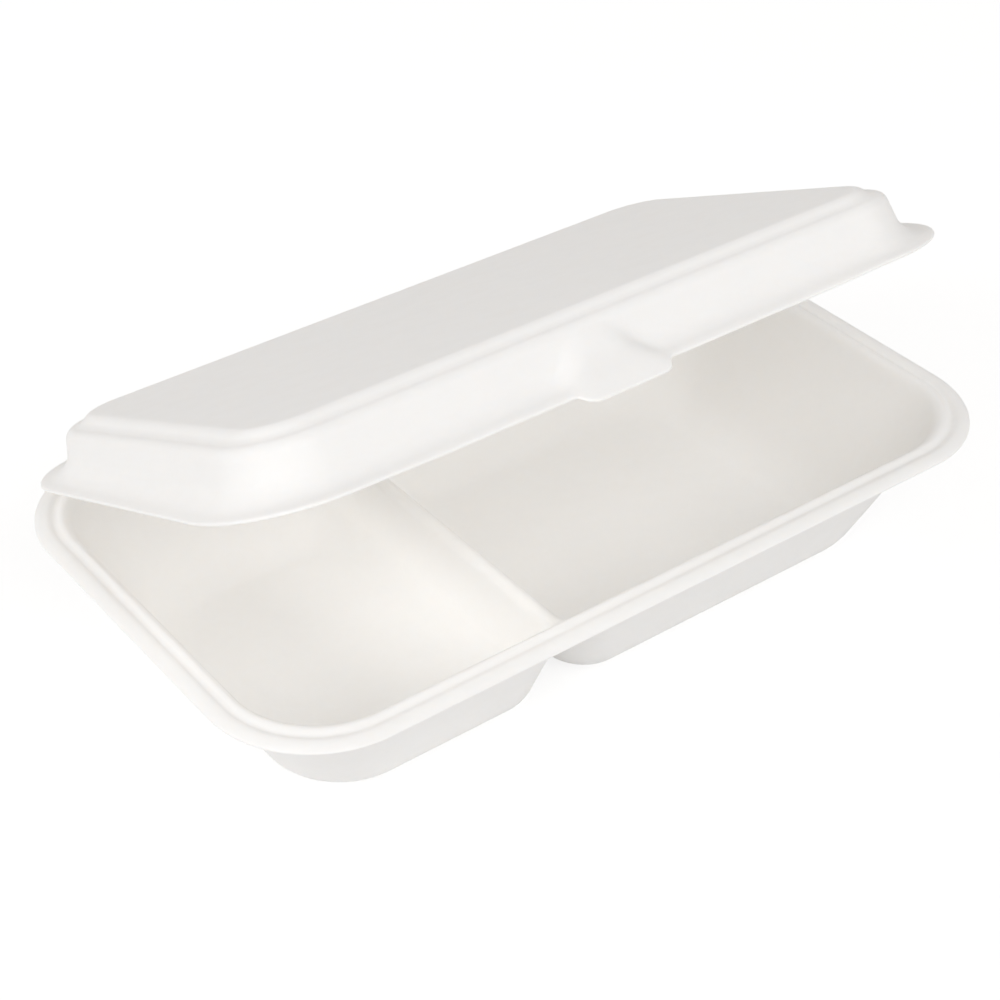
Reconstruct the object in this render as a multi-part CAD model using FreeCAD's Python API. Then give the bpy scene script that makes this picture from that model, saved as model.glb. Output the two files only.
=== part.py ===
"""Hinged two-compartment food box, moulded from sugarcane fibre, standing with its lid part open.

Frame: millimetres, +Z up, +X along the length, the hinge crease along the back (+Y) edge.
The tray rests on Z = 0 and its outer rim is centred on the Z axis.
"""
import FreeCAD, Part
import math
import os

from FreeCAD import Vector

# ---- overall sizes -------------------------------------------------------------------------
LENGTH = 240.0              # tray over the rim, along X
WIDTH = 140.0               # tray over the rim, along Y
HEIGHT = 40.0               # table to the top of the rim
WALL = 0.9                  # moulded fibre thickness
RIM_CORNER = 31.0           # corner radius of the tray's outer edge

# ---- tray rim, measured inwards from its outer edge ------------------------------------------
RIM_WIDTH = 8.5             # outer edge to the top of the inner wall
LIP_DROP = 1.6              # how far the outer edge turns down
RIDGE_INSET = 3.3           # crest of the rounded ridge behind the lip
GROOVE_INSET = 5.4          # bottom of the shallow groove
GROOVE_DEPTH = 0.7
BEAD_INSET = 7.2            # where the groove has risen to the flat inner bead
INNER_EDGE_ROLL = 1.2       # rounding from the bead down into the compartments

# ---- compartments ----------------------------------------------------------------------------
LONG_WALL_DRAFT = 20.5      # front and back walls, degrees from vertical
LEFT_WALL_DRAFT = 23.0      # end wall of the small compartment
RIGHT_WALL_DRAFT = 29.0     # end wall of the large compartment
FLOOR_ROLL = 6.5            # inside fillet between floor and walls
DIVIDER_X = -22.5           # middle of the divider
DIVIDER_HEIGHT = 24.0       # table to the divider's crest
DIVIDER_DRAFT = 8.0
DIVIDER_CREST = 5.0         # width across the rounded crest
DIVIDER_END_ROLL = 8.0      # rounding where the divider runs into the long walls

# ---- hinge crease ----------------------------------------------------------------------------
CREASE_GAP = 0.4            # tray flange to lid flange, and each flange to the crease line
LID_OPEN_ANGLE = 25.0       # how far the lid stands open

# ---- lid, in its closed place ----------------------------------------------------------------
LID_END_INSET = 8.0         # lid's ends inside the tray's ends
LID_FRONT_INSET = 0.6       # lid's front edge inside the tray's front edge
LID_CORNER = 29.0
LID_RIM_WIDTH = 8.5
LID_WALL_HEIGHT = 13.8      # flange top to the shoulder, at the front edge
LID_FALL = 2.5              # how far the top slopes down from the front edge to the crease
LID_WALL_DRAFT = 13.0
SHOULDER_WIDTH = 2.8
SHOULDER_BEVEL = 1.3        # easing of the wall's top edge
RISER_HEIGHT = 1.8          # shoulder to the flat top panel
RISER_RUN = 4.6

# ---- lift tab at the middle of the lid's front edge ---------------------------------------------
TAB_WIDTH = 34.0
TAB_REACH = 1.8             # beyond the lid's flange
TAB_CORNER = 3.4
GUSSET_HEIGHT = 10.0        # flange top to where the gusset runs out on the wall
GUSSET_BASE_WIDTH = 30.0
GUSSET_TOP_WIDTH = 24.0
GUSSET_CORNER = 1.6

# ---- modelling -----------------------------------------------------------------------------------
OVERLAP = 1.0               # how far forms run into each other before they are fused or cut
TOLERANCE = 0.01
SHARP_JOIN = 2              # offset curves meet in corners, not arcs


class Outline:
    """A rounded rectangle in plan, which can grow or shrink and be drawn at any height."""

    def __init__(self, left, right, front, back, corner):
        self.left = left
        self.right = right
        self.front = front
        self.back = back
        self.corner = corner

    def grown(self, amount):
        return Outline(self.left - amount, self.right + amount,
                       self.front - amount, self.back + amount, self.corner + amount)

    def wire(self, z):
        """Four sides and four corner arcs, starting with the front side."""
        left, right, front, back, r = self.left, self.right, self.front, self.back, self.corner
        corners = [
            (Vector(right - r, front + r, z), -90.0),
            (Vector(right - r, back - r, z), 0.0),
            (Vector(left + r, back - r, z), 90.0),
            (Vector(left + r, front + r, z), 180.0),
        ]
        arcs = [Part.Arc(point_on(c, r, a), point_on(c, r, a + 45.0), point_on(c, r, a + 90.0))
                for c, a in corners]
        edges = []
        for before, arc in zip([arcs[-1]] + arcs[:-1], arcs):
            edges.append(Part.LineSegment(before.EndPoint, arc.StartPoint).toShape())
            edges.append(arc.toShape())
        return Part.Wire(edges)


def point_on(centre, radius, degrees):
    angle = math.radians(degrees)
    return centre + Vector(radius * math.cos(angle), radius * math.sin(angle), 0)


def loft(lower, z_lower, upper, z_upper):
    """A solid with straight sloping sides between two outlines."""
    return Part.makeLoft([lower.wire(z_lower), upper.wire(z_upper)], True, True)


def slope(degrees):
    return math.tan(math.radians(degrees))


# ---- tray ------------------------------------------------------------------------------------

TRAY_EDGE = Outline(-LENGTH / 2, LENGTH / 2, -WIDTH / 2, WIDTH / 2, RIM_CORNER)


def bowl_outline(z, grow):
    """The inner wall's plan at height z, grown outwards for the outer skin."""
    mouth = TRAY_EDGE.grown(-RIM_WIDTH)
    depth = HEIGHT - z
    long_wall_run = depth * slope(LONG_WALL_DRAFT)
    left = mouth.left + depth * slope(LEFT_WALL_DRAFT)
    right = mouth.right - depth * slope(RIGHT_WALL_DRAFT)
    front = mouth.front + long_wall_run
    back = mouth.back - long_wall_run
    return Outline(left, right, front, back, mouth.corner).grown(grow)


def drafted_block(lower, z_lower, upper, z_upper):
    """A four-sided solid between two plans, each side at its own draft, with rounded upright corners."""
    block = Part.makeWedge(lower.left, z_lower, -lower.back, -upper.back, upper.left,
                           lower.right, z_upper, -lower.front, -upper.front, upper.right)
    block.rotate(Vector(0, 0, 0), Vector(1, 0, 0), 90)
    upright = [e for e in block.Edges if e.BoundBox.ZLength > TOLERANCE]
    return block.makeFillet(lower.corner, upright)


def divider_ridge(top, crest_width, foot):
    """The raised fold between the compartments, as a bar right across the tray."""
    r = crest_width / 2
    draft = math.radians(DIVIDER_DRAFT)
    shoulder_z = top - r * (1 - math.sin(draft))
    shoulder_x = r * math.cos(draft)
    foot_x = shoulder_x + (shoulder_z - foot) * slope(DIVIDER_DRAFT)
    y = -WIDTH
    left_foot = Vector(DIVIDER_X - foot_x, y, foot)
    left_shoulder = Vector(DIVIDER_X - shoulder_x, y, shoulder_z)
    crest = Vector(DIVIDER_X, y, top)
    right_shoulder = Vector(DIVIDER_X + shoulder_x, y, shoulder_z)
    right_foot = Vector(DIVIDER_X + foot_x, y, foot)
    section = Part.Wire([
        Part.LineSegment(left_foot, left_shoulder).toShape(),
        Part.Arc(left_shoulder, crest, right_shoulder).toShape(),
        Part.LineSegment(right_shoulder, right_foot).toShape(),
        Part.LineSegment(right_foot, left_foot).toShape(),
    ])
    return Part.Face(section).extrude(Vector(0, 2 * WIDTH, 0))


def middle_of(edge):
    return edge.valueAt((edge.FirstParameter + edge.LastParameter) / 2)


def divider_mouth_edges(block):
    """The edges where the divider's fold comes out through the long walls."""
    half_foot = DIVIDER_CREST / 2 + DIVIDER_HEIGHT * slope(DIVIDER_DRAFT)
    found = []
    for edge in block.Edges:
        middle = middle_of(edge)
        beside_divider = abs(middle.x - DIVIDER_X) < half_foot
        on_long_wall = abs(middle.y) > WIDTH / 4
        if beside_divider and on_long_wall and middle.z < DIVIDER_HEIGHT + TOLERANCE:
            found.append(edge)
    return found


def edges_in_plane(shape, point, normal):
    """Every edge that lies in the plane through that point."""
    found = []
    for edge in shape.Edges:
        points = [v.Point for v in edge.Vertexes] + [middle_of(edge)]
        if all(abs((p - point).dot(normal)) < TOLERANCE for p in points):
            found.append(edge)
    return found


def edges_at(shape, z):
    """Every edge that lies in the level plane at height z."""
    return edges_in_plane(shape, Vector(0, 0, z), Vector(0, 0, 1))


def bowl(grow, floor, top):
    """Both compartments as one solid, for the outer skin or for the space inside."""
    block = drafted_block(bowl_outline(floor, grow), floor, bowl_outline(top, grow), top)
    ridge = divider_ridge(DIVIDER_HEIGHT - grow, DIVIDER_CREST - 2 * grow, floor - OVERLAP)
    block = block.cut(ridge)
    block = block.makeFillet(DIVIDER_END_ROLL + grow, divider_mouth_edges(block))
    return block.makeFillet(FLOOR_ROLL + grow, edges_at(block, floor))


def straight(start, end):
    return Part.LineSegment(start, end).toShape()


def turned_lip(crest):
    """The arc from the tray's outer edge up to the ridge's crest, where it is level."""
    radius = (RIDGE_INSET ** 2 + LIP_DROP ** 2) / (2 * LIP_DROP)
    turn = math.asin(RIDGE_INSET / radius)
    edge = crest - Vector(0, RIDGE_INSET, LIP_DROP)
    shoulder = crest - Vector(0, radius * math.sin(turn / 2), radius * (1 - math.cos(turn / 2)))
    return Part.Arc(edge, shoulder, crest).toShape()


def rim_section():
    """Section of the rim at the middle of the front edge: lip, ridge, groove and flat bead."""
    outer_y = TRAY_EDGE.front
    crest = Vector(0, outer_y + RIDGE_INSET, HEIGHT)
    groove = Vector(0, outer_y + GROOVE_INSET, HEIGHT - GROOVE_DEPTH)
    bead = Vector(0, outer_y + BEAD_INSET, HEIGHT)
    inner = Vector(0, outer_y + RIM_WIDTH + WALL, HEIGHT)
    flats = [straight(crest, groove), straight(groove, bead), straight(bead, inner)]
    top = Part.Wire([turned_lip(crest)] + flats)
    return top.makeOffset2D(WALL, SHARP_JOIN, True, True).OuterWire


def swept_round(outline, section, z):
    """A closed section carried round an outline, which starts at the middle of its front side."""
    edges = outline.wire(z).Edges
    front = edges[0]
    middle = Vector(0, outline.front, z)
    first = straight(middle, front.Vertexes[1].Point)
    last = straight(front.Vertexes[0].Point, middle)
    sweep = Part.BRepOffsetAPI.MakePipeShell(Part.Wire([first] + edges[1:] + [last]))
    sweep.setBiNormalMode(Vector(0, 0, 1))
    sweep.add(section)
    sweep.build()
    sweep.makeSolid()
    return sweep.shape()


def crease_strip(back_y, corner, half_length, z):
    """The flat strip of a flange that runs out to the crease, between the rim's round corners."""
    reach = half_length - corner
    return Part.makeBox(2 * reach, RIDGE_INSET, WALL, Vector(-reach, back_y - RIDGE_INSET, z - WALL))


def base_tray():
    rim = swept_round(TRAY_EDGE, rim_section(), HEIGHT)
    strip = crease_strip(TRAY_EDGE.back, RIM_CORNER, LENGTH / 2, HEIGHT)
    skin = bowl(WALL, 0, HEIGHT - WALL / 2)
    space = bowl(0, WALL, HEIGHT + 2 * WALL)
    behind = Part.makeBox(2 * LENGTH, WIDTH, 2 * HEIGHT, Vector(-LENGTH, TRAY_EDGE.back - CREASE_GAP, 0))
    tray = skin.fuse([rim, strip]).cut(space.fuse(behind)).removeSplitter()
    mouth = [e for e in edges_at(tray, HEIGHT) if space.isInside(middle_of(e), TOLERANCE, True)]
    return tray.makeFillet(INNER_EDGE_ROLL, mouth)


# ---- lid -------------------------------------------------------------------------------------

HINGE = Vector(0, TRAY_EDGE.back, HEIGHT + CREASE_GAP / 2)


def lid_outline(inset):
    """Plan of the closed lid, shrunk inwards from its outer edge."""
    edge = Outline(TRAY_EDGE.left + LID_END_INSET, TRAY_EDGE.right - LID_END_INSET,
                   TRAY_EDGE.front + LID_FRONT_INSET, TRAY_EDGE.back - CREASE_GAP, LID_CORNER)
    return edge.grown(-inset)


def lid_shell(grow, flange_z):
    """The lid's dome as a solid, for its outer skin or for the space inside."""
    foot = LID_RIM_WIDTH - grow
    shoulder_z = flange_z + LID_WALL_HEIGHT
    shoulder = foot + LID_WALL_HEIGHT * slope(LID_WALL_DRAFT)
    riser = shoulder + SHOULDER_WIDTH
    panel_edge = riser + RISER_RUN
    wall = loft(lid_outline(foot), flange_z, lid_outline(shoulder), shoulder_z)
    panel = loft(lid_outline(riser), shoulder_z - WALL, lid_outline(panel_edge), shoulder_z + RISER_HEIGHT)
    above = Part.makeBox(2 * LENGTH, 2 * WIDTH, HEIGHT, Vector(-LENGTH, -WIDTH, shoulder_z))
    plan = lid_outline(0)
    front = Vector(0, plan.front, shoulder_z)
    fall = math.atan2(LID_FALL, plan.back - plan.front)
    for form in (panel, above):
        form.rotate(front, Vector(1, 0, 0), -math.degrees(fall))
    wall = wall.cut(above)
    shoulder_edges = edges_in_plane(wall, front, Vector(0, math.sin(fall), math.cos(fall)))
    return wall.makeChamfer(SHOULDER_BEVEL, shoulder_edges).fuse(panel)


def gusset(grow, flange_z):
    """The sloping boss that stiffens the lift tab, from the flange's edge up to the lid's wall."""
    front = lid_outline(0).front
    foot_depth = LID_RIM_WIDTH + OVERLAP
    wall_run = GUSSET_HEIGHT * slope(LID_WALL_DRAFT)
    foot = Outline(-GUSSET_BASE_WIDTH / 2, GUSSET_BASE_WIDTH / 2, front + WALL, front + WALL + foot_depth,
                   GUSSET_CORNER)
    top = Outline(-GUSSET_TOP_WIDTH / 2, GUSSET_TOP_WIDTH / 2, front + LID_RIM_WIDTH + wall_run - OVERLAP,
                  front + LID_RIM_WIDTH + wall_run + foot_depth, GUSSET_CORNER)
    return loft(foot.grown(grow - WALL), flange_z, top.grown(grow - WALL), flange_z + GUSSET_HEIGHT)


def lift_tab(flange_z):
    front = lid_outline(0).front
    plan = Outline(-TAB_WIDTH / 2, TAB_WIDTH / 2, front - TAB_REACH, front + LID_RIM_WIDTH, TAB_CORNER)
    return loft(plan, flange_z, plan, flange_z + WALL)


def lid():
    under = HEIGHT + CREASE_GAP
    flange = loft(lid_outline(0), under, lid_outline(0), under + WALL)
    skin = flange.fuse([lift_tab(under), lid_shell(WALL, under + WALL), gusset(WALL, under + WALL)])
    space = lid_shell(0, under).fuse(gusset(0, under))
    closed = skin.cut(space).removeSplitter()
    closed.rotate(HINGE, Vector(1, 0, 0), -LID_OPEN_ANGLE)
    return closed


def main():
    os.makedirs("parts", exist_ok=True)
    for name, shape in (("base_tray", base_tray()), ("lid", lid())):
        print(name, shape.isValid(), len(shape.Solids), round(shape.Volume), shape.BoundBox)
        shape.exportStep(f"parts/{name}.step")


if __name__ == "__main__":
    main()
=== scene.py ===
"""Looks of the moulded-fibre two-compartment food box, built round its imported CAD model.

Both visible mouldings are skins of one wall thickness. Each starts as rings of points that follow
the moulding's plan, is settled onto a smooth function that describes the mould's face, and is then
given its second side and a rounded edge. Shapes are written in millimetres, and become metres when
their mesh is made.
"""

import math

import bpy
import numpy as np
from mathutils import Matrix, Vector


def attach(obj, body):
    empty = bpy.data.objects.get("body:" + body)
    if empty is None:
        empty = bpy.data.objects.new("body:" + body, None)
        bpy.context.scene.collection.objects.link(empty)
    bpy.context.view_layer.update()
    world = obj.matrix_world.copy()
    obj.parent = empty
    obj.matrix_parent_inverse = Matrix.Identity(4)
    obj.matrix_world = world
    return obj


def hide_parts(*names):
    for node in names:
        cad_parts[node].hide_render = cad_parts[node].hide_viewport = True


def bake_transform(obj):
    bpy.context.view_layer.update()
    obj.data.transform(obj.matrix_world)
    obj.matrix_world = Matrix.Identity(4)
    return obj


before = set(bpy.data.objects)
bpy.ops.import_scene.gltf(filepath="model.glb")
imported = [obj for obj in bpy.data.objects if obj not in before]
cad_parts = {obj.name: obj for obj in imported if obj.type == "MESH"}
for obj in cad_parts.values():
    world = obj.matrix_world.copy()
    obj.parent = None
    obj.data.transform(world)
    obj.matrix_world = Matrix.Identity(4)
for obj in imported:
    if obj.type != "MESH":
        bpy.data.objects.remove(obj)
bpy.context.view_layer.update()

MM = 0.001

# ---- the tray's sizes in millimetres and degrees, as the CAD has them -------------------------

LENGTH, WIDTH, HEIGHT, WALL = 240.0, 140.0, 40.0, 0.9
RIM_CORNER, RIM_WIDTH = 31.0, 8.5
LIP_DROP, RIDGE_INSET = 1.6, 3.3
GROOVE_INSET, GROOVE_DEPTH, GROOVE_HALF = 5.4, 0.7, 1.95
MOUTH_ROLL = 1.7
LONG_DRAFT, LEFT_DRAFT, RIGHT_DRAFT = 20.5, 23.0, 29.0
CORNER_AT_RIM, CORNER_AT_FLOOR = 22.5, 18.5
FLOOR_ROLL = 7.0
DIVIDER_X, DIVIDER_TOP, DIVIDER_DRAFT, CREST_RADIUS = -22.5, 24.0, 8.0, 2.5
END_ROLL = 12.0
CREASE_GAP, OPEN_ANGLE = 0.4, 25.0
# Beside the crease the rim's lip isn't turned down. It goes flat between these values of y, and
# comes back between these distances from the middle.
FLAT_LIP_Y, FLAT_LIP_X = (60, 66), (78, 92)

# ---- the closed lid's sizes, some of them a little unlike the CAD's ----------------------------

LID_PLAN = (-115.0, 108.6, -69.4, 69.6, 29.0)    # left, right, front, back, corner radius
LID_FOOT, LID_WALL_HEIGHT, LID_DRAFT, LID_FALL = 7.6, 13.2, 13.0, 2.5
SHOULDER_ROLL, SHOULDER_WIDTH = 2.2, 3.5
RISER_RUN, RISER_HEIGHT = 2.5, 2.5
RISER_SUNK = 0.5        # how far the riser's slope goes on below the shoulder
PANEL_ROLL, PANEL_FILLET = 1.0, 1.0
COVE = 5.0
# The flange's outer edge turns down by END_DROP at the ends and by LID_LIP_DROP at the front, less
# CORNER_EASE at the front corners, and not at all at the back. Each pair is where one of these
# starts and is complete, measured forward, outward and back from the middle.
LID_LIP, LID_LIP_DROP, END_DROP, CORNER_EASE = 3.0, 1.0, 0.25, 0.5
FRONT_LIP_Y, CORNER_LIP_X, BACK_LIP_Y = (30, 62), (58, 80), (40, 56)
TAB_X, TAB_HALF, TAB_REACH, TAB_CORNER = -11.8, 14.4, 2.9, 3.4
TAB_SOFTNESS = 0.4
TAB_INSETS = (1.0, 5.0)     # rings up to the first have the tab whole, and from the second none
GUSSET_HALF_FOOT, GUSSET_HALF_TOP, GUSSET_HEIGHT = 12.6, 7.0, 8.0
# How far behind the front edge the gusset's foot stands, how much more than LID_FOOT it runs in
# over its height, and how far above that height it is cut off.
GUSSET_SET_BACK, GUSSET_OVERLAP, GUSSET_OVER_TOP = 0.6, 1.2, 1.5
GUSSET_ROLL, GUSSET_TOP_ROLL, GUSSET_FILLET = 3.0, 1.0, 3.2

# ---- places that follow from these ------------------------------------------------------------

TRAY_PLAN = (-LENGTH / 2, LENGTH / 2, -WIDTH / 2, WIDTH / 2, RIM_CORNER)
LID_TOP = HEIGHT + CREASE_GAP + WALL
HINGE_Y, HINGE_Z = WIDTH / 2, HEIGHT + CREASE_GAP / 2
CREASE_Y = WIDTH / 2 - CREASE_GAP


# ---- small tools ------------------------------------------------------------------------------

def hypot(a, b):
    return np.sqrt(a * a + b * b)


def smooth(x, low, high):
    """0 up to low, 1 from high on, and an even curve between."""
    t = np.clip((x - low) / (high - low), 0, 1)
    return t * t * (3 - 2 * t)


def round_max(a, b, r):
    """Where two forms meet, the edge of what both hold, rounded by r."""
    return np.minimum(-r, np.maximum(a, b)) + hypot(np.maximum(r + a, 0), np.maximum(r + b, 0))


def round_min(a, b, r):
    """Two forms joined, with a fillet of radius r between them."""
    return -round_max(-a, -b, r)


def slope(degrees):
    return math.tan(math.radians(degrees))


def lean_of(run, rise):
    """A face's lean from upright in degrees, from how far it goes in and up."""
    return math.degrees(math.atan2(run, rise))


def leaning(distance, degrees):
    """A level distance to a wall of that draft, as the distance square to the wall."""
    return distance * math.cos(math.radians(degrees))


def unit(v):
    return v / np.maximum(np.linalg.norm(v, axis=-1, keepdims=True), 1e-12)


def plan_distance(x, y, plan):
    """Distance outside a rounded rectangle, below zero inside it."""
    left, right, front, back, r = plan
    qx = np.abs(x - (left + right) / 2) - ((right - left) / 2 - r)
    qy = np.abs(y - (front + back) / 2) - ((back - front) / 2 - r)
    return np.minimum(np.maximum(qx, qy), 0) + hypot(np.maximum(qx, 0), np.maximum(qy, 0)) - r


def shrunk(plan, inset):
    left, right, front, back, r = plan
    return left + inset, right - inset, front + inset, back - inset, r - inset


# ---- the tray's upper face --------------------------------------------------------------------

def rim_height(inset, x, y):
    """Height of the rim's upper face: turned-down lip, ridge, groove and inner bead."""
    radius = (RIDGE_INSET ** 2 + LIP_DROP ** 2) / (2 * LIP_DROP)
    over = np.clip(RIDGE_INSET - inset, 0, RIDGE_INSET)
    drop = radius - np.sqrt(radius ** 2 - over ** 2) + np.maximum(-inset, 0)
    crease = smooth(y, *FLAT_LIP_Y) * (1 - smooth(np.abs(x), *FLAT_LIP_X))
    t = np.clip(np.abs(inset - GROOVE_INSET) / GROOVE_HALF, 0, 1)
    groove = GROOVE_DEPTH * np.cos(t * math.pi / 2) ** 2
    return HEIGHT - drop * (1 - crease) - groove


def divider_distance(x, z):
    """Distance from the divider: a round crest on two drafted faces."""
    draft = math.radians(DIVIDER_DRAFT)
    dx = np.abs(x - DIVIDER_X)
    dz = z - (DIVIDER_TOP - CREST_RADIUS)
    on_crest = dz * math.cos(draft) > dx * math.sin(draft)
    face = dx * math.cos(draft) + dz * math.sin(draft)
    return np.where(on_crest, hypot(dx, dz), face) - CREST_RADIUS


def tray_face(p):
    """Below zero in the pulp under the tray's upper face, zero on it, above zero over it."""
    x, y, z = p[:, 0], p[:, 1], p[:, 2]
    left, right, front, back, _ = shrunk(TRAY_PLAN, RIM_WIDTH)
    depth = HEIGHT - z
    ends = np.maximum(leaning(left + depth * slope(LEFT_DRAFT) - x, LEFT_DRAFT),
                      leaning(x - right + depth * slope(RIGHT_DRAFT), RIGHT_DRAFT))
    sides = np.maximum(leaning(front + depth * slope(LONG_DRAFT) - y, LONG_DRAFT),
                       leaning(y - back + depth * slope(LONG_DRAFT), LONG_DRAFT))
    corner = CORNER_AT_FLOOR + (CORNER_AT_RIM - CORNER_AT_FLOOR) * np.clip(z / HEIGHT, 0, 1)
    space = round_max(ends, sides, corner)
    space = round_max(space, -divider_distance(x, z), END_ROLL)
    space = round_max(space, WALL - z, FLOOR_ROLL)
    rim = z - rim_height(-plan_distance(x, y, TRAY_PLAN), x, y)
    return round_max(rim, -space, MOUTH_ROLL)


# ---- the closed lid's upper face --------------------------------------------------------------

SHOULDER_INSET = LID_FOOT + LID_WALL_HEIGHT * slope(LID_DRAFT)
RISER_INSET = SHOULDER_INSET + SHOULDER_WIDTH


def fallen(y):
    """How far the lid's top has sloped down from its height at the front edge."""
    return LID_FALL * (y - LID_PLAN[2]) / (LID_PLAN[3] - LID_PLAN[2])


def lip_drop(x, y, outside):
    """How far the lid's outer edge turns down: most at the front, over the tray's lip."""
    front = smooth(-y, *FRONT_LIP_Y)
    corner = smooth(np.abs(x - (LID_PLAN[0] + LID_PLAN[1]) / 2), *CORNER_LIP_X)
    drop = END_DROP + (LID_LIP_DROP - END_DROP - CORNER_EASE * corner) * front
    over = np.clip(outside + LID_LIP, 0, LID_LIP + TAB_REACH) / LID_LIP
    return drop * over ** 2 * (1 - smooth(y, *BACK_LIP_Y))


def gusset_form(x, y, level):
    """The sloping wedge behind the lift tab, which runs up the lid's front wall."""
    front_lean = lean_of(LID_FOOT + GUSSET_OVERLAP, GUSSET_HEIGHT)
    front = leaning(LID_PLAN[2] + GUSSET_SET_BACK + level * slope(front_lean) - y, front_lean)
    side_lean = lean_of(GUSSET_HALF_FOOT - GUSSET_HALF_TOP, GUSSET_HEIGHT)
    side = leaning(np.abs(x - TAB_X) - GUSSET_HALF_FOOT + level * slope(side_lean), side_lean)
    wedge = round_max(front, side, GUSSET_ROLL)
    wedge = round_max(wedge, level - GUSSET_HEIGHT - GUSSET_OVER_TOP, GUSSET_TOP_ROLL)
    return np.maximum(wedge, y)


def lid_face(p):
    """Below zero in the pulp under the closed lid's upper face, zero on it, above zero over it."""
    x, y, z = p[:, 0], p[:, 1], p[:, 2]
    outside = plan_distance(x, y, LID_PLAN)
    level = z - LID_TOP
    above = level - LID_WALL_HEIGHT + fallen(y)
    wall = leaning(outside + LID_FOOT + level * slope(LID_DRAFT), LID_DRAFT)
    dome = round_max(wall, above, SHOULDER_ROLL)
    riser_lean = lean_of(RISER_RUN, RISER_HEIGHT)
    riser = leaning(outside + RISER_INSET + np.maximum(above, -RISER_SUNK) * slope(riser_lean),
                    riser_lean)
    panel = round_max(riser, above - RISER_HEIGHT, PANEL_ROLL)
    face = round_min(level + lip_drop(x, y, outside), dome, COVE)
    face = round_min(face, gusset_form(x, y, level), GUSSET_FILLET)
    return round_min(face, panel, PANEL_FILLET)


# ---- rings of points --------------------------------------------------------------------------

# The divider's frame has u along x from the divider outward and y as it is. The outline's long
# sides have even steps up to NEAR from the divider, and growing ones from there to the corner.
NEAR, FIRST_STEP, LAST_STEP = 14.0, 1.2, 2.6
NEAR_STEPS, CORNER_STEPS, SIDE_STEPS = 12, 26, 38
WALL_SEAM_STEPS, STRAIGHT_SEAM_STEPS, CREST_STEPS = 18, 4, 40
# The seam is where the two compartments' rings meet. It is straight down this share of the wall
# above the divider, and then bends into the crest within SEAM_REACH.
SEAM_STRAIGHT, SEAM_REACH = 0.25, 15.0


def even(steps):
    """Fractions from 0 to 1 in even steps."""
    return np.linspace(0, 1, steps + 1)


def graded(length, first, last):
    """Fractions along a length, with steps that grow from first to last."""
    count = max(2, int(round(2 * length / (first + last))))
    steps = np.linspace(first, last, count)
    return np.concatenate([[0], np.cumsum(steps) / steps.sum()])


def arc(centre_u, centre_y, r, start, end, count):
    a = np.radians(np.linspace(start, end, count + 1))
    return np.stack([centre_u + r * np.cos(a), centre_y + r * np.sin(a)], 1)


def line(a, b, fractions):
    a, b, f = np.array(a, float), np.array(b, float), np.asarray(fractions)[:, None]
    return a + (b - a) * f


def bezier(a, b, c, t):
    return a * (1 - t) ** 2 + b * 2 * t * (1 - t) + c * t ** 2


def joined(*runs):
    """Runs of points laid end to end, each shared point kept once."""
    return np.concatenate([runs[0]] + [r[1:] for r in runs[1:]])


def long_side_steps(end, r):
    """Fractions along an outline's long side, from NEAR to the corner that starts at end - r."""
    return graded(end - r - NEAR, FIRST_STEP, LAST_STEP)


def round_end(start, end, front, back, r, far):
    """Out along the front from start, round the two corners at the end, and back to start."""
    return (line((start, front), (end - r, front), far),
            arc(end - r, front + r, r, -90, 0, CORNER_STEPS),
            line((end, front + r), (end, back - r), even(SIDE_STEPS)),
            arc(end - r, back - r, r, 0, 90, CORNER_STEPS),
            line((end - r, back), (start, back), 1 - far[::-1]))


def half_outline(end, front, back, r):
    """Half of a rounded outline in the divider's frame: out along the front and back again."""
    return joined(
        line((0, front), (NEAR, front), even(NEAR_STEPS)),
        *round_end(NEAR, end, front, back, r, long_side_steps(end, r)),
        line((NEAR, back), (0, back), even(NEAR_STEPS)))


def foot_loop(end, front, back, r, far, face, inner_r):
    """The loop where a compartment's walls would meet its floor, in step with its upper loop."""
    inner = face + inner_r
    return joined(
        arc(inner, front + inner_r, inner_r, -135, -90, NEAR_STEPS),
        *round_end(inner, end, front, back, r, far),
        arc(inner, back - inner_r, inner_r, 90, 135, NEAR_STEPS),
        arc(inner, back - inner_r, inner_r, 135, 180, WALL_SEAM_STEPS),
        line((face, back - inner_r), (face, front + inner_r), even(CREST_STEPS)),
        arc(inner, front + inner_r, inner_r, 180, 225, WALL_SEAM_STEPS))[:-1]


def seam_path(front, back):
    """Down the back wall, along the divider's crest and up the front wall, as (y, z)."""
    run = (HEIGHT - DIVIDER_TOP) * slope(LONG_DRAFT)

    def one_end(wall_y, inward):
        top = np.array([wall_y, HEIGHT])
        corner = np.array([wall_y + inward * run, DIVIDER_TOP])
        start = corner + (top - corner) * (1 - SEAM_STRAIGHT)
        end = corner + np.array([inward * SEAM_REACH, 0])
        down = line(top, start, even(STRAIGHT_SEAM_STEPS))
        t = even(WALL_SEAM_STEPS - STRAIGHT_SEAM_STEPS)[:, None]
        return joined(down, bezier(start, corner, end, t))

    back_end = one_end(back, -1)
    front_end = one_end(front, 1)[::-1]
    crest = line(back_end[-1], front_end[0], even(CREST_STEPS))
    return joined(back_end, crest, front_end)


# ---- sheets of points, and fitting them to a face ---------------------------------------------

PROBE = 0.02        # half the distance over which a face's slope is measured
LEAST_SLOPE, LONGEST_MOVE = 0.05, 3.0       # these keep a badly placed point from flying off
SETTLE_ROUNDS, RELAX_SETTLE_ROUNDS = 10, 3
TRAY_RELAX_ROUNDS, LID_RELAX_ROUNDS = 6, 4


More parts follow.
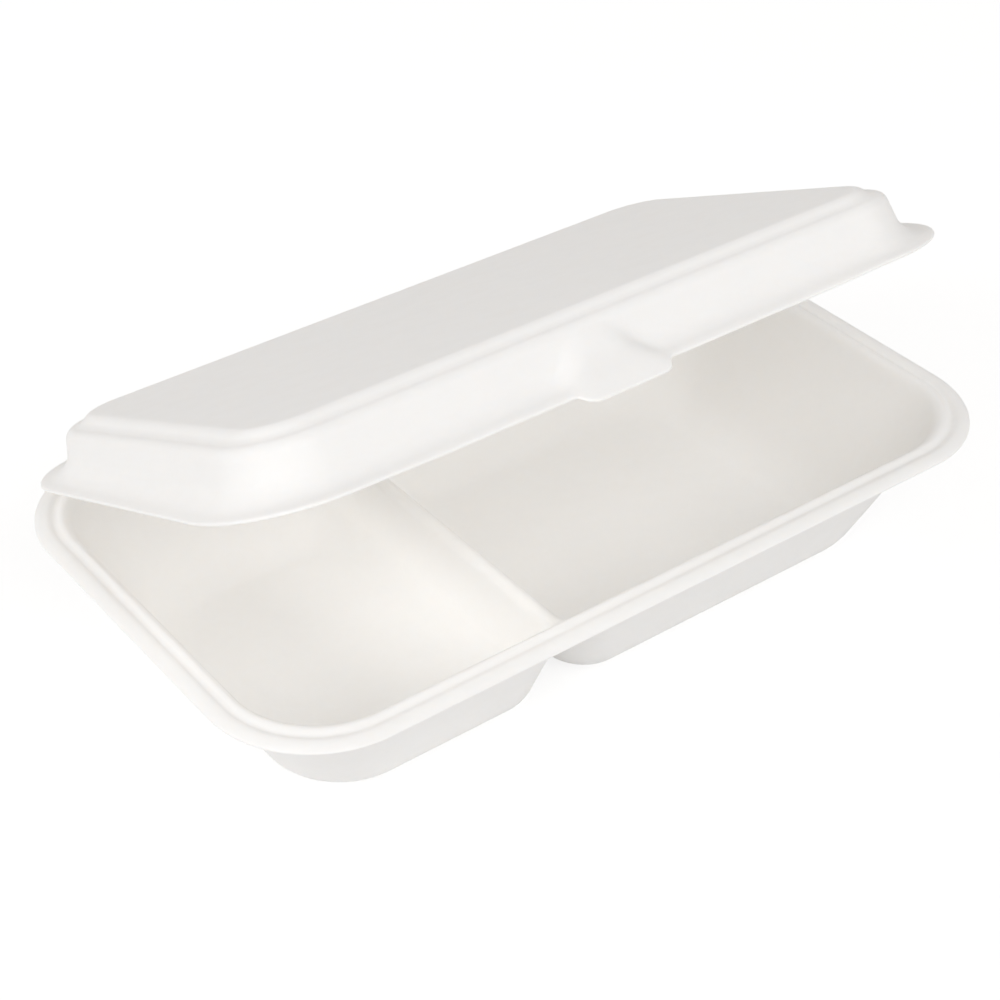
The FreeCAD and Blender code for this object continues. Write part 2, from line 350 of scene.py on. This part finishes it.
class Skin:
    """Collects grids of points into one welded sheet."""

    def __init__(self):
        self.points, self.quads, self.count = [], [], 0

    def grid(self, rows, closed=False, flip=False):
        """rows: an array of rows of points; closed joins each row's end to its start."""
        rows = np.asarray(rows, float)
        m, n = rows.shape[:2]
        index = self.count + np.arange(m * n).reshape(m, n)
        if closed:
            index = np.concatenate([index, index[:, :1]], 1)
        quads = np.stack([index[:-1, :-1], index[:-1, 1:], index[1:, 1:], index[1:, :-1]], -1)
        quads = quads.reshape(-1, 4)
        self.points.append(rows.reshape(-1, 3))
        self.quads.append(quads[:, ::-1] if flip else quads)
        self.count += m * n

    def welded(self):
        """The points and quads with shared points made one, and quads without width left out."""
        points = np.concatenate(self.points)
        quads = np.concatenate(self.quads)
        _, first, back = np.unique(np.round(points, 5), axis=0,
                                   return_index=True, return_inverse=True)
        quads = back.reshape(-1)[quads]
        whole = (np.diff(np.sort(quads, 1), axis=1) > 0).all(1)
        return points[first], quads[whole]


def coons(loop, across, along):
    """Fills a closed loop of 2 * (across + along) points, which starts at a corner."""
    a = loop[:along + 1]
    b = loop[along:along + across + 1]
    c = loop[along + across:2 * along + across + 1][::-1]
    d = np.concatenate([loop[2 * along + across:], loop[:1]])[::-1]
    u = even(along)[None, :, None]
    v = even(across)[:, None, None]
    sides = (1 - v) * a[None] + v * c[None] + (1 - u) * d[:, None] + u * b[:, None]
    corners = (1 - u) * (1 - v) * a[0] + u * (1 - v) * a[-1] + (1 - u) * v * c[0] + u * v * c[-1]
    return sides - corners


def quad_edges(quads):
    """Every quad's four edges, each pointing the way that the quad goes round."""
    return np.concatenate([quads[:, [i, (i + 1) % 4]] for i in range(4)])


def gradient(face, p):
    parts = []
    for axis in range(3):
        d = np.zeros(3)
        d[axis] = PROBE
        parts.append((face(p + d) - face(p - d)) / (2 * PROBE))
    return np.stack(parts, 1)


def settle(face, p, rounds):
    """Moves points onto the surface where face is zero."""
    for _ in range(rounds):
        g = gradient(face, p)
        move = (face(p) / np.maximum((g * g).sum(1), LEAST_SLOPE))[:, None] * g
        far = np.linalg.norm(move, axis=1, keepdims=True)
        p = p - move * np.minimum(1, LONGEST_MOVE / np.maximum(far, 1e-9))
    return p


def relax(face, points, quads, fixed, rounds):
    """Evens out the spacing of points within the surface."""
    edges = np.unique(np.sort(quad_edges(quads), 1), axis=0)
    both = np.concatenate([edges, edges[:, ::-1]])
    near = np.bincount(both[:, 0], minlength=len(points))[:, None]
    for _ in range(rounds):
        total = np.stack([np.bincount(both[:, 0], points[both[:, 1], k], len(points))
                          for k in range(3)], 1)
        moved = points + 0.5 * (total / near - points)
        moved[fixed] = points[fixed]
        points = settle(face, moved, RELAX_SETTLE_ROUNDS)
    return points


def fitted(face, points, quads, fixed, rounds):
    """Settles the points that aren't fixed onto the face, and then relaxes them."""
    points[~fixed] = settle(face, points[~fixed], SETTLE_ROUNDS)
    return relax(face, points, quads, fixed, rounds)


# ---- the tray ---------------------------------------------------------------------------------

RIM_INSETS = (WALL / 2, 0.7, 1.0, 1.4, 2.0, 2.6, 3.2, 3.8, 4.4, 4.9, 5.4, 5.9, 6.4, 6.9, 7.4, 7.8,
              8.2, 8.5)
# Rings further in than BEAD_INSET lie flat, and points up to KEPT_RIM stay where their ring is.
BEAD_INSET, KEPT_RIM = 7.4, 7.5
CREASE_EASE = 0.25      # how much further in at the crease each ring stops, as a share of its inset
INNER_CORNER = 13.0
# The crest's rows reach this far over its side. Up the two ends of the seam, that fades to nothing
# between these shares of the way from the divider's top to the rim.
CREST_REACH, CREST_LIFTS = 2.7, (0.1, 1.0)
CREST_ROWS = (0, 0.17, 0.35, 0.54, 0.76)
WALL_ROWS = (32, 0.5, 1.5)      # length, first step and last step of the rows down a wall
FLOOR_ROLL_ROWS = 10


def side_end(plan, side):
    """How far an outline reaches from the divider; side is -1 for its left and 1 for its right."""
    return (plan[1] - DIVIDER_X) if side > 0 else (DIVIDER_X - plan[0])


def compartment(skin, side):
    """One compartment's walls and floor."""
    plan = shrunk(TRAY_PLAN, RIM_WIDTH)
    _, _, front, back, r = plan
    end = side_end(plan, side)
    draft = RIGHT_DRAFT if side > 0 else LEFT_DRAFT
    depth = HEIGHT - WALL
    far = long_side_steps(end, r)

    # The upper loop goes round the mouth and comes back along the divider's crest.
    mouth = half_outline(end, front, back, r)
    seam = seam_path(front, back)
    upper = np.concatenate([
        np.column_stack([mouth, np.full(len(mouth), HEIGHT)]),
        np.column_stack([np.zeros(len(seam)), seam])[1:-1]])

    # The foot is where sharp walls would meet the floor; inner is where the roll ends.
    run = depth * slope(LONG_DRAFT)
    face_foot = CREST_RADIUS + (DIVIDER_TOP - CREST_RADIUS) * slope(DIVIDER_DRAFT)
    foot = foot_loop(end - depth * slope(draft), front + run, back - run, CORNER_AT_FLOOR,
                     far, face_foot, INNER_CORNER)
    foot = np.column_stack([foot, np.full(len(foot), WALL)])
    centre = np.array([(foot[:, 0].min() + foot[:, 0].max()) / 2, 0, WALL])
    half = (foot[:, :2].max(0) - foot[:, :2].min(0)) / 2
    inner = foot.copy()
    inner[:, :2] = centre[:2] + (foot[:, :2] - centre[:2]) * (1 - FLOOR_ROLL / half)

    # Rows go over the crest's side, down the walls and round the roll into the floor.
    lift = (upper[:, 2] - DIVIDER_TOP) / (HEIGHT - DIVIDER_TOP)
    on_mouth = np.arange(len(upper)) < len(mouth)
    over = np.where(on_mouth, 0, CREST_REACH * (1 - smooth(lift, *CREST_LIFTS)))[:, None]
    crest = upper + over * np.array([1, 0, 0])
    toward_foot = foot - crest
    reach = np.linalg.norm(toward_foot, axis=1, keepdims=True)
    start = crest + toward_foot * np.minimum(1, over / reach)
    low = foot - toward_foot * (FLOOR_ROLL / reach)
    rows = [bezier(upper, crest, start, t) for t in CREST_ROWS]
    rows += [start + (low - start) * t for t in graded(*WALL_ROWS)]
    rows += [bezier(low, foot, inner, t) for t in even(FLOOR_ROLL_ROWS)[1:]]
    rows = np.array(rows)

    # The floor's patch starts in the middle of a corner.
    corner = NEAR_STEPS + (len(far) - 1) + CORNER_STEPS // 2
    across = CORNER_STEPS + SIDE_STEPS
    along = len(upper) // 2 - across
    floor_patch = coons(np.roll(rows[-1], -(corner - along), axis=0), across, along)
    for patch, closed in ((rows, True), (floor_patch, False)):
        placed = patch.copy()
        placed[..., 0] = DIVIDER_X + side * patch[..., 0]
        skin.grid(placed, closed, flip=(side < 0))


def rim_ring(inset, side):
    """Half of one ring of the rim's upper face."""
    plan = shrunk(TRAY_PLAN, inset)
    _, _, front, back, r = plan
    ring = half_outline(side_end(plan, side), front, back, r)
    at_crease = CREASE_Y - WALL / 2 - CREASE_EASE * (inset - WALL / 2)
    x, y = DIVIDER_X + side * ring[:, 0], np.minimum(ring[:, 1], at_crease)
    if inset > BEAD_INSET:
        z = np.full(len(x), HEIGHT)
    else:
        z = rim_height(np.full(len(x), inset), x, y)
    return np.column_stack([x, y, z])


def tray_skin():
    skin = Skin()
    for side in (-1, 1):
        skin.grid([rim_ring(inset, side) for inset in RIM_INSETS], flip=(side < 0))
        compartment(skin, side)
    points, quads = skin.welded()
    fixed = -plan_distance(points[:, 0], points[:, 1], TRAY_PLAN) < KEPT_RIM
    points = fitted(tray_face, points, quads, fixed, TRAY_RELAX_ROUNDS)
    points[:, 2] = np.maximum(points[:, 2], WALL)
    return points, quads


# ---- the lid ----------------------------------------------------------------------------------

LID_SIDE_STEPS, LID_FRONT_STEPS, LID_CORNER_STEPS = 44, 104, 26
# The section from the edge inward: insets on the flange, shares of the wall, distances along the
# shoulder, shares of the riser, and distances along the panel.
FLANGE_INSETS = (WALL / 2, 0.7, 1.2, 1.8, 2.5, 3.2, 4.0, 4.8, 5.5, 6.1, 6.6, 7.0, 7.3)
WALL_SHARES = (0, 0.03, 0.06, 0.1, 0.15, 0.21, 0.28, 0.35, 0.42, 0.49, 0.56, 0.63, 0.7, 0.76,
               0.81, 0.85, 0.88, 0.91, 0.94, 0.97, 1.0)
SHOULDER_STEPS = (0.3, 0.6, 1.0, 1.4, 1.8, 2.2, 2.5)
RISER_SHARES = (0, 0.12, 0.25, 0.38, 0.5, 0.62, 0.75, 0.88, 1.0)
PANEL_STEPS = (0.3, 0.6, 1.0, 1.5, 2.2, 3.2)
SAME_PLACE = 0.01


def lid_ring(inset):
    """One ring round the lid's plan, with the tab's reach in the outer ones."""
    left, right, front, back, r = shrunk(LID_PLAN, inset)
    long_way, short_way = even(LID_FRONT_STEPS), even(LID_SIDE_STEPS)
    ring = joined(
        line((left + r, front), (right - r, front), long_way),
        arc(right - r, front + r, r, -90, 0, LID_CORNER_STEPS),
        line((right, front + r), (right, back - r), short_way),
        arc(right - r, back - r, r, 0, 90, LID_CORNER_STEPS),
        line((right - r, back), (left + r, back), long_way),
        arc(left + r, back - r, r, 90, 180, LID_CORNER_STEPS),
        line((left, back - r), (left, front + r), short_way),
        arc(left + r, front + r, r, 180, 270, LID_CORNER_STEPS))[:-1]
    from_side = TAB_HALF - np.abs(ring[:, 0] - TAB_X)
    tab = smooth(from_side, -TAB_SOFTNESS, TAB_CORNER) * (ring[:, 1] < 0)
    ring[:, 1] -= TAB_REACH * tab * (1 - smooth(inset, *TAB_INSETS))
    return ring


def lid_skin():
    section = [(t, 0) for t in FLANGE_INSETS]
    section += [(LID_FOOT + (SHOULDER_INSET - LID_FOOT) * t, LID_WALL_HEIGHT * t)
                for t in WALL_SHARES]
    section += [(SHOULDER_INSET + t, LID_WALL_HEIGHT) for t in SHOULDER_STEPS]
    section += [(RISER_INSET + RISER_RUN * t, LID_WALL_HEIGHT + RISER_HEIGHT * t)
                for t in RISER_SHARES]
    section += [(RISER_INSET + RISER_RUN + t, LID_WALL_HEIGHT + RISER_HEIGHT) for t in PANEL_STEPS]
    rows = []
    for inset, rise in section:
        ring = lid_ring(inset)
        x, y = ring[:, 0], ring[:, 1]
        if rise == 0:
            down = lip_drop(x, y, plan_distance(x, y, LID_PLAN))
        else:
            down = fallen(y) * min(1, rise / LID_WALL_HEIGHT)
        rows.append(np.column_stack([ring, LID_TOP + rise - down]))
    skin = Skin()
    skin.grid(rows, closed=True)
    # The panel's patch starts in the middle of a corner.
    along = LID_FRONT_STEPS + LID_CORNER_STEPS
    across = LID_SIDE_STEPS + LID_CORNER_STEPS
    skin.grid(coons(np.roll(rows[-1], LID_CORNER_STEPS // 2, axis=0), across, along))
    points, quads = skin.welded()
    border = lid_ring(WALL / 2)
    reach = hypot(points[:, 0, None] - border[:, 0], points[:, 1, None] - border[:, 1]).min(1)
    return fitted(lid_face, points, quads, reach < SAME_PLACE, LID_RELAX_ROUNDS), quads


# ---- from one skin to a moulding --------------------------------------------------------------

EDGE_STEPS = 5


def moulding(face, points, quads):
    """Adds the second side, one wall thickness away, and rounds the outer edge."""
    normal = unit(gradient(face, points))
    under = points - WALL * normal
    n = len(points)
    edges = quad_edges(quads)
    _, first, count = np.unique(np.sort(edges, 1), axis=0, return_index=True, return_counts=True)
    border = edges[first[count == 1]]
    follow = dict(border.tolist())
    rim = [border[0, 0]]
    while follow[rim[-1]] != rim[0]:
        rim.append(follow[rim[-1]])
    rim = np.array(rim)
    centre = (points[rim] + under[rim]) / 2
    along = unit(np.roll(centre, -1, 0) - np.roll(centre, 1, 0))
    outward = unit(np.cross(along, normal[rim]))
    turns = [centre + WALL / 2 * (math.sin(a) * normal[rim] + math.cos(a) * outward)
             for a in np.linspace(math.pi / 2, -math.pi / 2, EDGE_STEPS + 2)[1:-1]]
    new_rims = [2 * n + i * len(rim) + np.arange(len(rim)) for i in range(EDGE_STEPS)]
    chain = [rim] + new_rims + [rim + n]
    faces = [quads, quads[:, ::-1] + n]
    for a, b in zip(chain[:-1], chain[1:]):
        faces.append(np.stack([a, b, np.roll(b, -1), np.roll(a, -1)], 1))
    return np.concatenate([points, under] + turns), np.concatenate(faces)


def open_lid(p):
    """Turns points of the closed lid about the hinge to the opening at rest."""
    a = math.radians(OPEN_ANGLE)
    y, z = p[:, 1] - HINGE_Y, p[:, 2] - HINGE_Z
    return np.column_stack([p[:, 0], HINGE_Y + y * math.cos(a) + z * math.sin(a),
                            HINGE_Z - y * math.sin(a) + z * math.cos(a)])


# ---- the crease -------------------------------------------------------------------------------

# How far the U is pulled out past the edges, how far it laps onto each flange, and how far its ends
# stay from the plan's corners. FOLD_THICKNESS is what it has at those points of its middle line.
FOLD_PULL, FOLD_LAP, FOLD_END_GAP = 0.9, 0.5, 1.0
FOLD_BEND_STEPS, FOLD_STATIONS = 12, 60
FOLD_POINTS, FOLD_THICKNESS = (0, 2, 7, 12, 14), (0.8, 0.78, 0.5, 0.78, 0.8)


def crease_fold():
    """The thin pressed fold that joins the two flanges, as a U of pulp round the hinge line."""
    lean = math.radians(OPEN_ANGLE)
    inward = np.array([-math.cos(lean), math.sin(lean)])
    tray_edge = np.array([CREASE_Y, HEIGHT - WALL / 2])
    lid_edge = open_lid(np.array([[0, CREASE_Y, LID_TOP - WALL / 2]]))[0, 1:]
    a, b = tray_edge + (FOLD_PULL, 0), lid_edge - FOLD_PULL * inward
    t = even(FOLD_BEND_STEPS)[:, None]
    bend = ((1 - t) ** 3 * tray_edge + 3 * t * (1 - t) ** 2 * a
            + 3 * t ** 2 * (1 - t) * b + t ** 3 * lid_edge)
    middle = joined(line(tray_edge - (FOLD_LAP, 0), tray_edge, (0, 1)), bend,
                    line(lid_edge, lid_edge + FOLD_LAP * inward, (0, 1)))
    along = unit(np.gradient(middle, axis=0))
    side = np.column_stack([along[:, 1], -along[:, 0]])
    thick = np.interp(np.arange(len(middle)), FOLD_POINTS, FOLD_THICKNESS)[:, None]
    section = np.concatenate([middle + side * thick / 2, (middle - side * thick / 2)[::-1]])
    left, right, _, _, corner = LID_PLAN
    stations = np.linspace(left + corner + FOLD_END_GAP, right - corner - FOLD_END_GAP,
                           FOLD_STATIONS)
    rings = np.array([np.column_stack([np.full(len(section), x), section]) for x in stations])
    m, n = rings.shape[:2]
    index = np.arange(m * n).reshape(m, n)
    beside = np.roll(index, -1, axis=1)
    faces = np.stack([index[:-1], beside[:-1], beside[1:], index[1:]], -1).reshape(-1, 4)
    half = np.arange(n // 2 - 1)
    caps = [np.stack([end[half], end[half + 1], end[n - 2 - half], end[n - 1 - half]], 1)
            for end in (index[0], index[-1])]
    return rings.reshape(-1, 3), np.concatenate([faces, caps[0][:, ::-1], caps[1]])


# ---- objects and nodes ------------------------------------------------------------------------

def add_object(name, data):
    obj = bpy.data.objects.new(name, data)
    bpy.context.scene.collection.objects.link(obj)
    return obj


def add_mesh(name, points, faces):
    mesh = bpy.data.meshes.new(name)
    mesh.from_pydata((points * MM).tolist(), [], faces.tolist())
    mesh.validate()
    mesh.polygons.foreach_set("use_smooth", [True] * len(mesh.polygons))
    mesh.update()
    return add_object(name, mesh)


def empty_tree(owner):
    """The node tree of a material or the world, with nothing in it yet."""
    owner.use_nodes = True
    owner.node_tree.nodes.clear()
    return owner.node_tree


def add_node(tree, kind, values=None, **sources):
    """Adds a node, sets the inputs in values, and links the inputs named in sources."""
    node = tree.nodes.new(kind)
    for name, value in (values or {}).items():
        node.inputs[name].default_value = value
    for name, source in sources.items():
        tree.links.new(source, node.inputs[name])
    return node


def larger(tree, first, second):
    """The larger of two values."""
    node = add_node(tree, "ShaderNodeMath")
    node.operation = "MAXIMUM"
    tree.links.new(first, node.inputs[0])
    tree.links.new(second, node.inputs[1])
    return node.outputs[0]


def mixed(tree, factor, first, second):
    """A shader that goes from the first to the second as factor goes from 0 to 1."""
    node = add_node(tree, "ShaderNodeMixShader", Fac=factor)
    tree.links.new(first.outputs[0], node.inputs[1])
    tree.links.new(second.outputs[0], node.inputs[2])
    return node


# ---- material ---------------------------------------------------------------------------------

PULP_DARK, PULP_LIGHT = (0.950, 0.941, 0.925, 1), (0.970, 0.963, 0.950, 1)
MOTTLE_ENDS = (0.3, 0.7)
PULP = {"Roughness": 0.85, "Specular IOR Level": 0.25, "Subsurface Weight": 1.0,
        "Subsurface Radius": (1.0, 0.96, 0.92), "Subsurface Scale": 0.0004}
MOTTLE = {"Scale": 140.0, "Detail": 5.0, "Roughness": 0.65}
FELT = {"Scale": 900.0, "Detail": 4.0, "Roughness": 0.6}
FELT_BUMP = {"Strength": 0.18, "Distance": 0.00015}


def pulp_material():
    """Pressed sugarcane fibre: warm white, matt, faintly mottled, with a fine felted surface."""
    material = bpy.data.materials.new("moulded_fibre")
    tree = empty_tree(material)
    place = add_node(tree, "ShaderNodeTexCoord").outputs["Object"]
    mottle = add_node(tree, "ShaderNodeTexNoise", MOTTLE, Vector=place)
    ramp = add_node(tree, "ShaderNodeValToRGB", Fac=mottle.outputs["Fac"])
    for element, position, colour in zip(ramp.color_ramp.elements, MOTTLE_ENDS,
                                         (PULP_DARK, PULP_LIGHT)):
        element.position = position
        element.color = colour
    felt = add_node(tree, "ShaderNodeTexNoise", FELT, Vector=place)
    bump = add_node(tree, "ShaderNodeBump", FELT_BUMP, Height=felt.outputs["Fac"])
    shader = add_node(tree, "ShaderNodeBsdfPrincipled", PULP, Normal=bump.outputs["Normal"])
    tree.links.new(ramp.outputs["Color"], shader.inputs["Base Color"])
    add_node(tree, "ShaderNodeOutputMaterial", Surface=shader.outputs[0])
    return material


# ---- build ------------------------------------------------------------------------------------

pulp = pulp_material()

tray = add_mesh("tray_moulding", *moulding(tray_face, *tray_skin()))
lid_points, lid_faces = moulding(lid_face, *lid_skin())
lid = add_mesh("lid_moulding", open_lid(lid_points), lid_faces)

for obj, body, node in ((tray, "tray", "base_tray"), (lid, "lid", "lid")):
    obj.data.materials.append(pulp)
    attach(obj, body)
    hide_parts(node)

fold = add_mesh("crease_fold", *crease_fold())
fold.data.materials.append(pulp)
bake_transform(fold)


# ---- floor, light and camera, in metres and degrees -------------------------------------------

WHITE, WARM = (1, 1, 1), (1, 0.97, 0.935)
FLOOR_HALF, FLOOR_Z = 3.0, -0.0003
PAPER, SEEN_PAPER, SEEN_GLOW = 0.84, 0.30, 0.76
FADE = {"From Min": 0.35, "From Max": 0.75}
WORLD = 0.465
# name, azimuth, elevation, size, level, colour; azimuth 0 is the front, and 90 is the right
LAMPS = [("left", -96, 28, 0.6, 0.25, WHITE), ("key", -48, 42, 1.3, 0.11, WHITE),
         ("front", 5, 40, 1.3, 0.36, WHITE), ("back", 180, 30, 1.3, 0.13, WARM)]
LAMP_DISTANCE = 2.0
AIM = Vector((0.00369, 0.01223, 0.01626))
VIEW, VIEW_DISTANCE = (-37.054, 36.395), 0.61388
SENSOR_WIDTH, LENS, CLIP_START = 36.0, 79.2, 0.01
DIFFUSE_BOUNCES = 12


def grey(level):
    return {"Color": (level, level, level, 1)}


def floor():
    """White paper that, seen directly, glows under the shadows and is plain white far off."""
    s, z = FLOOR_HALF, FLOOR_Z
    mesh = bpy.data.meshes.new("studio_floor")
    mesh.from_pydata([(-s, -s, z), (s, -s, z), (s, s, z), (-s, s, z)], [], [(0, 1, 2, 3)])
    obj = add_object("studio_floor", mesh)
    material = bpy.data.materials.new("studio_floor")
    tree = empty_tree(material)
    rays = add_node(tree, "ShaderNodeLightPath").outputs
    seen_ray = larger(tree, rays["Is Camera Ray"],
                      larger(tree, rays["Is Glossy Ray"], rays["Is Transmission Ray"]))
    place = add_node(tree, "ShaderNodeTexCoord").outputs["Object"]
    reach = add_node(tree, "ShaderNodeVectorMath")
    reach.operation = "LENGTH"
    tree.links.new(place, reach.inputs[0])
    far = add_node(tree, "ShaderNodeMapRange", FADE, Value=reach.outputs["Value"])
    far.interpolation_type = "SMOOTHSTEP"
    near = add_node(tree, "ShaderNodeAddShader")
    shadowed = add_node(tree, "ShaderNodeBsdfDiffuse", grey(SEEN_PAPER))
    glow = add_node(tree, "ShaderNodeEmission", {"Strength": SEEN_GLOW})
    tree.links.new(shadowed.outputs[0], near.inputs[0])
    tree.links.new(glow.outputs[0], near.inputs[1])
    white = add_node(tree, "ShaderNodeEmission", {"Strength": 1.0})
    seen = mixed(tree, far.outputs["Result"], near, white)
    paper = add_node(tree, "ShaderNodeBsdfDiffuse", grey(PAPER))
    surface = mixed(tree, seen_ray, paper, seen)
    add_node(tree, "ShaderNodeOutputMaterial", Surface=surface.outputs[0])
    mesh.materials.append(material)


def world_light():
    """A pale surround that lights the object, and plain white where it's seen directly."""
    world = bpy.data.worlds.new("studio")
    bpy.context.scene.world = world
    tree = empty_tree(world)
    rays = add_node(tree, "ShaderNodeLightPath").outputs
    fill = add_node(tree, "ShaderNodeBackground", {"Color": (*WARM, 1), "Strength": WORLD})
    white = add_node(tree, "ShaderNodeBackground", {"Color": (*WHITE, 1), "Strength": 1.0})
    surface = mixed(tree, rays["Is Camera Ray"], fill, white)
    add_node(tree, "ShaderNodeOutputWorld", Surface=surface.outputs[0])


def toward(azimuth, elevation):
    a, e = math.radians(azimuth), math.radians(elevation)
    return Vector((math.sin(a) * math.cos(e), -math.cos(a) * math.cos(e), math.sin(e)))


def place_facing_aim(obj, direction, distance):
    obj.location = AIM + direction * distance
    obj.rotation_euler = direction.to_track_quat("Z", "Y").to_euler()


def soft_lamp(name, azimuth, elevation, size, level, colour):
    """A square lamp; level is the light it gives a surface that faces it."""
    data = bpy.data.lights.new(name, "AREA")
    data.size = size
    data.energy = level * math.pi * math.pi * LAMP_DISTANCE ** 2
    data.color = colour
    place_facing_aim(add_object(name, data), toward(azimuth, elevation), LAMP_DISTANCE)


def camera():
    """The camera stands in the direction VIEW from AIM, and looks at it."""
    data = bpy.data.cameras.new("camera")
    data.sensor_width = SENSOR_WIDTH
    data.lens = LENS
    data.clip_start = CLIP_START
    obj = add_object("camera", data)
    place_facing_aim(obj, toward(*VIEW), VIEW_DISTANCE)
    bpy.context.scene.camera = obj


floor()
world_light()
for lamp in LAMPS:
    soft_lamp(*lamp)
camera()
bpy.context.scene.view_settings.view_transform = "Standard"
bpy.context.scene.cycles.diffuse_bounces = DIFFUSE_BOUNCES
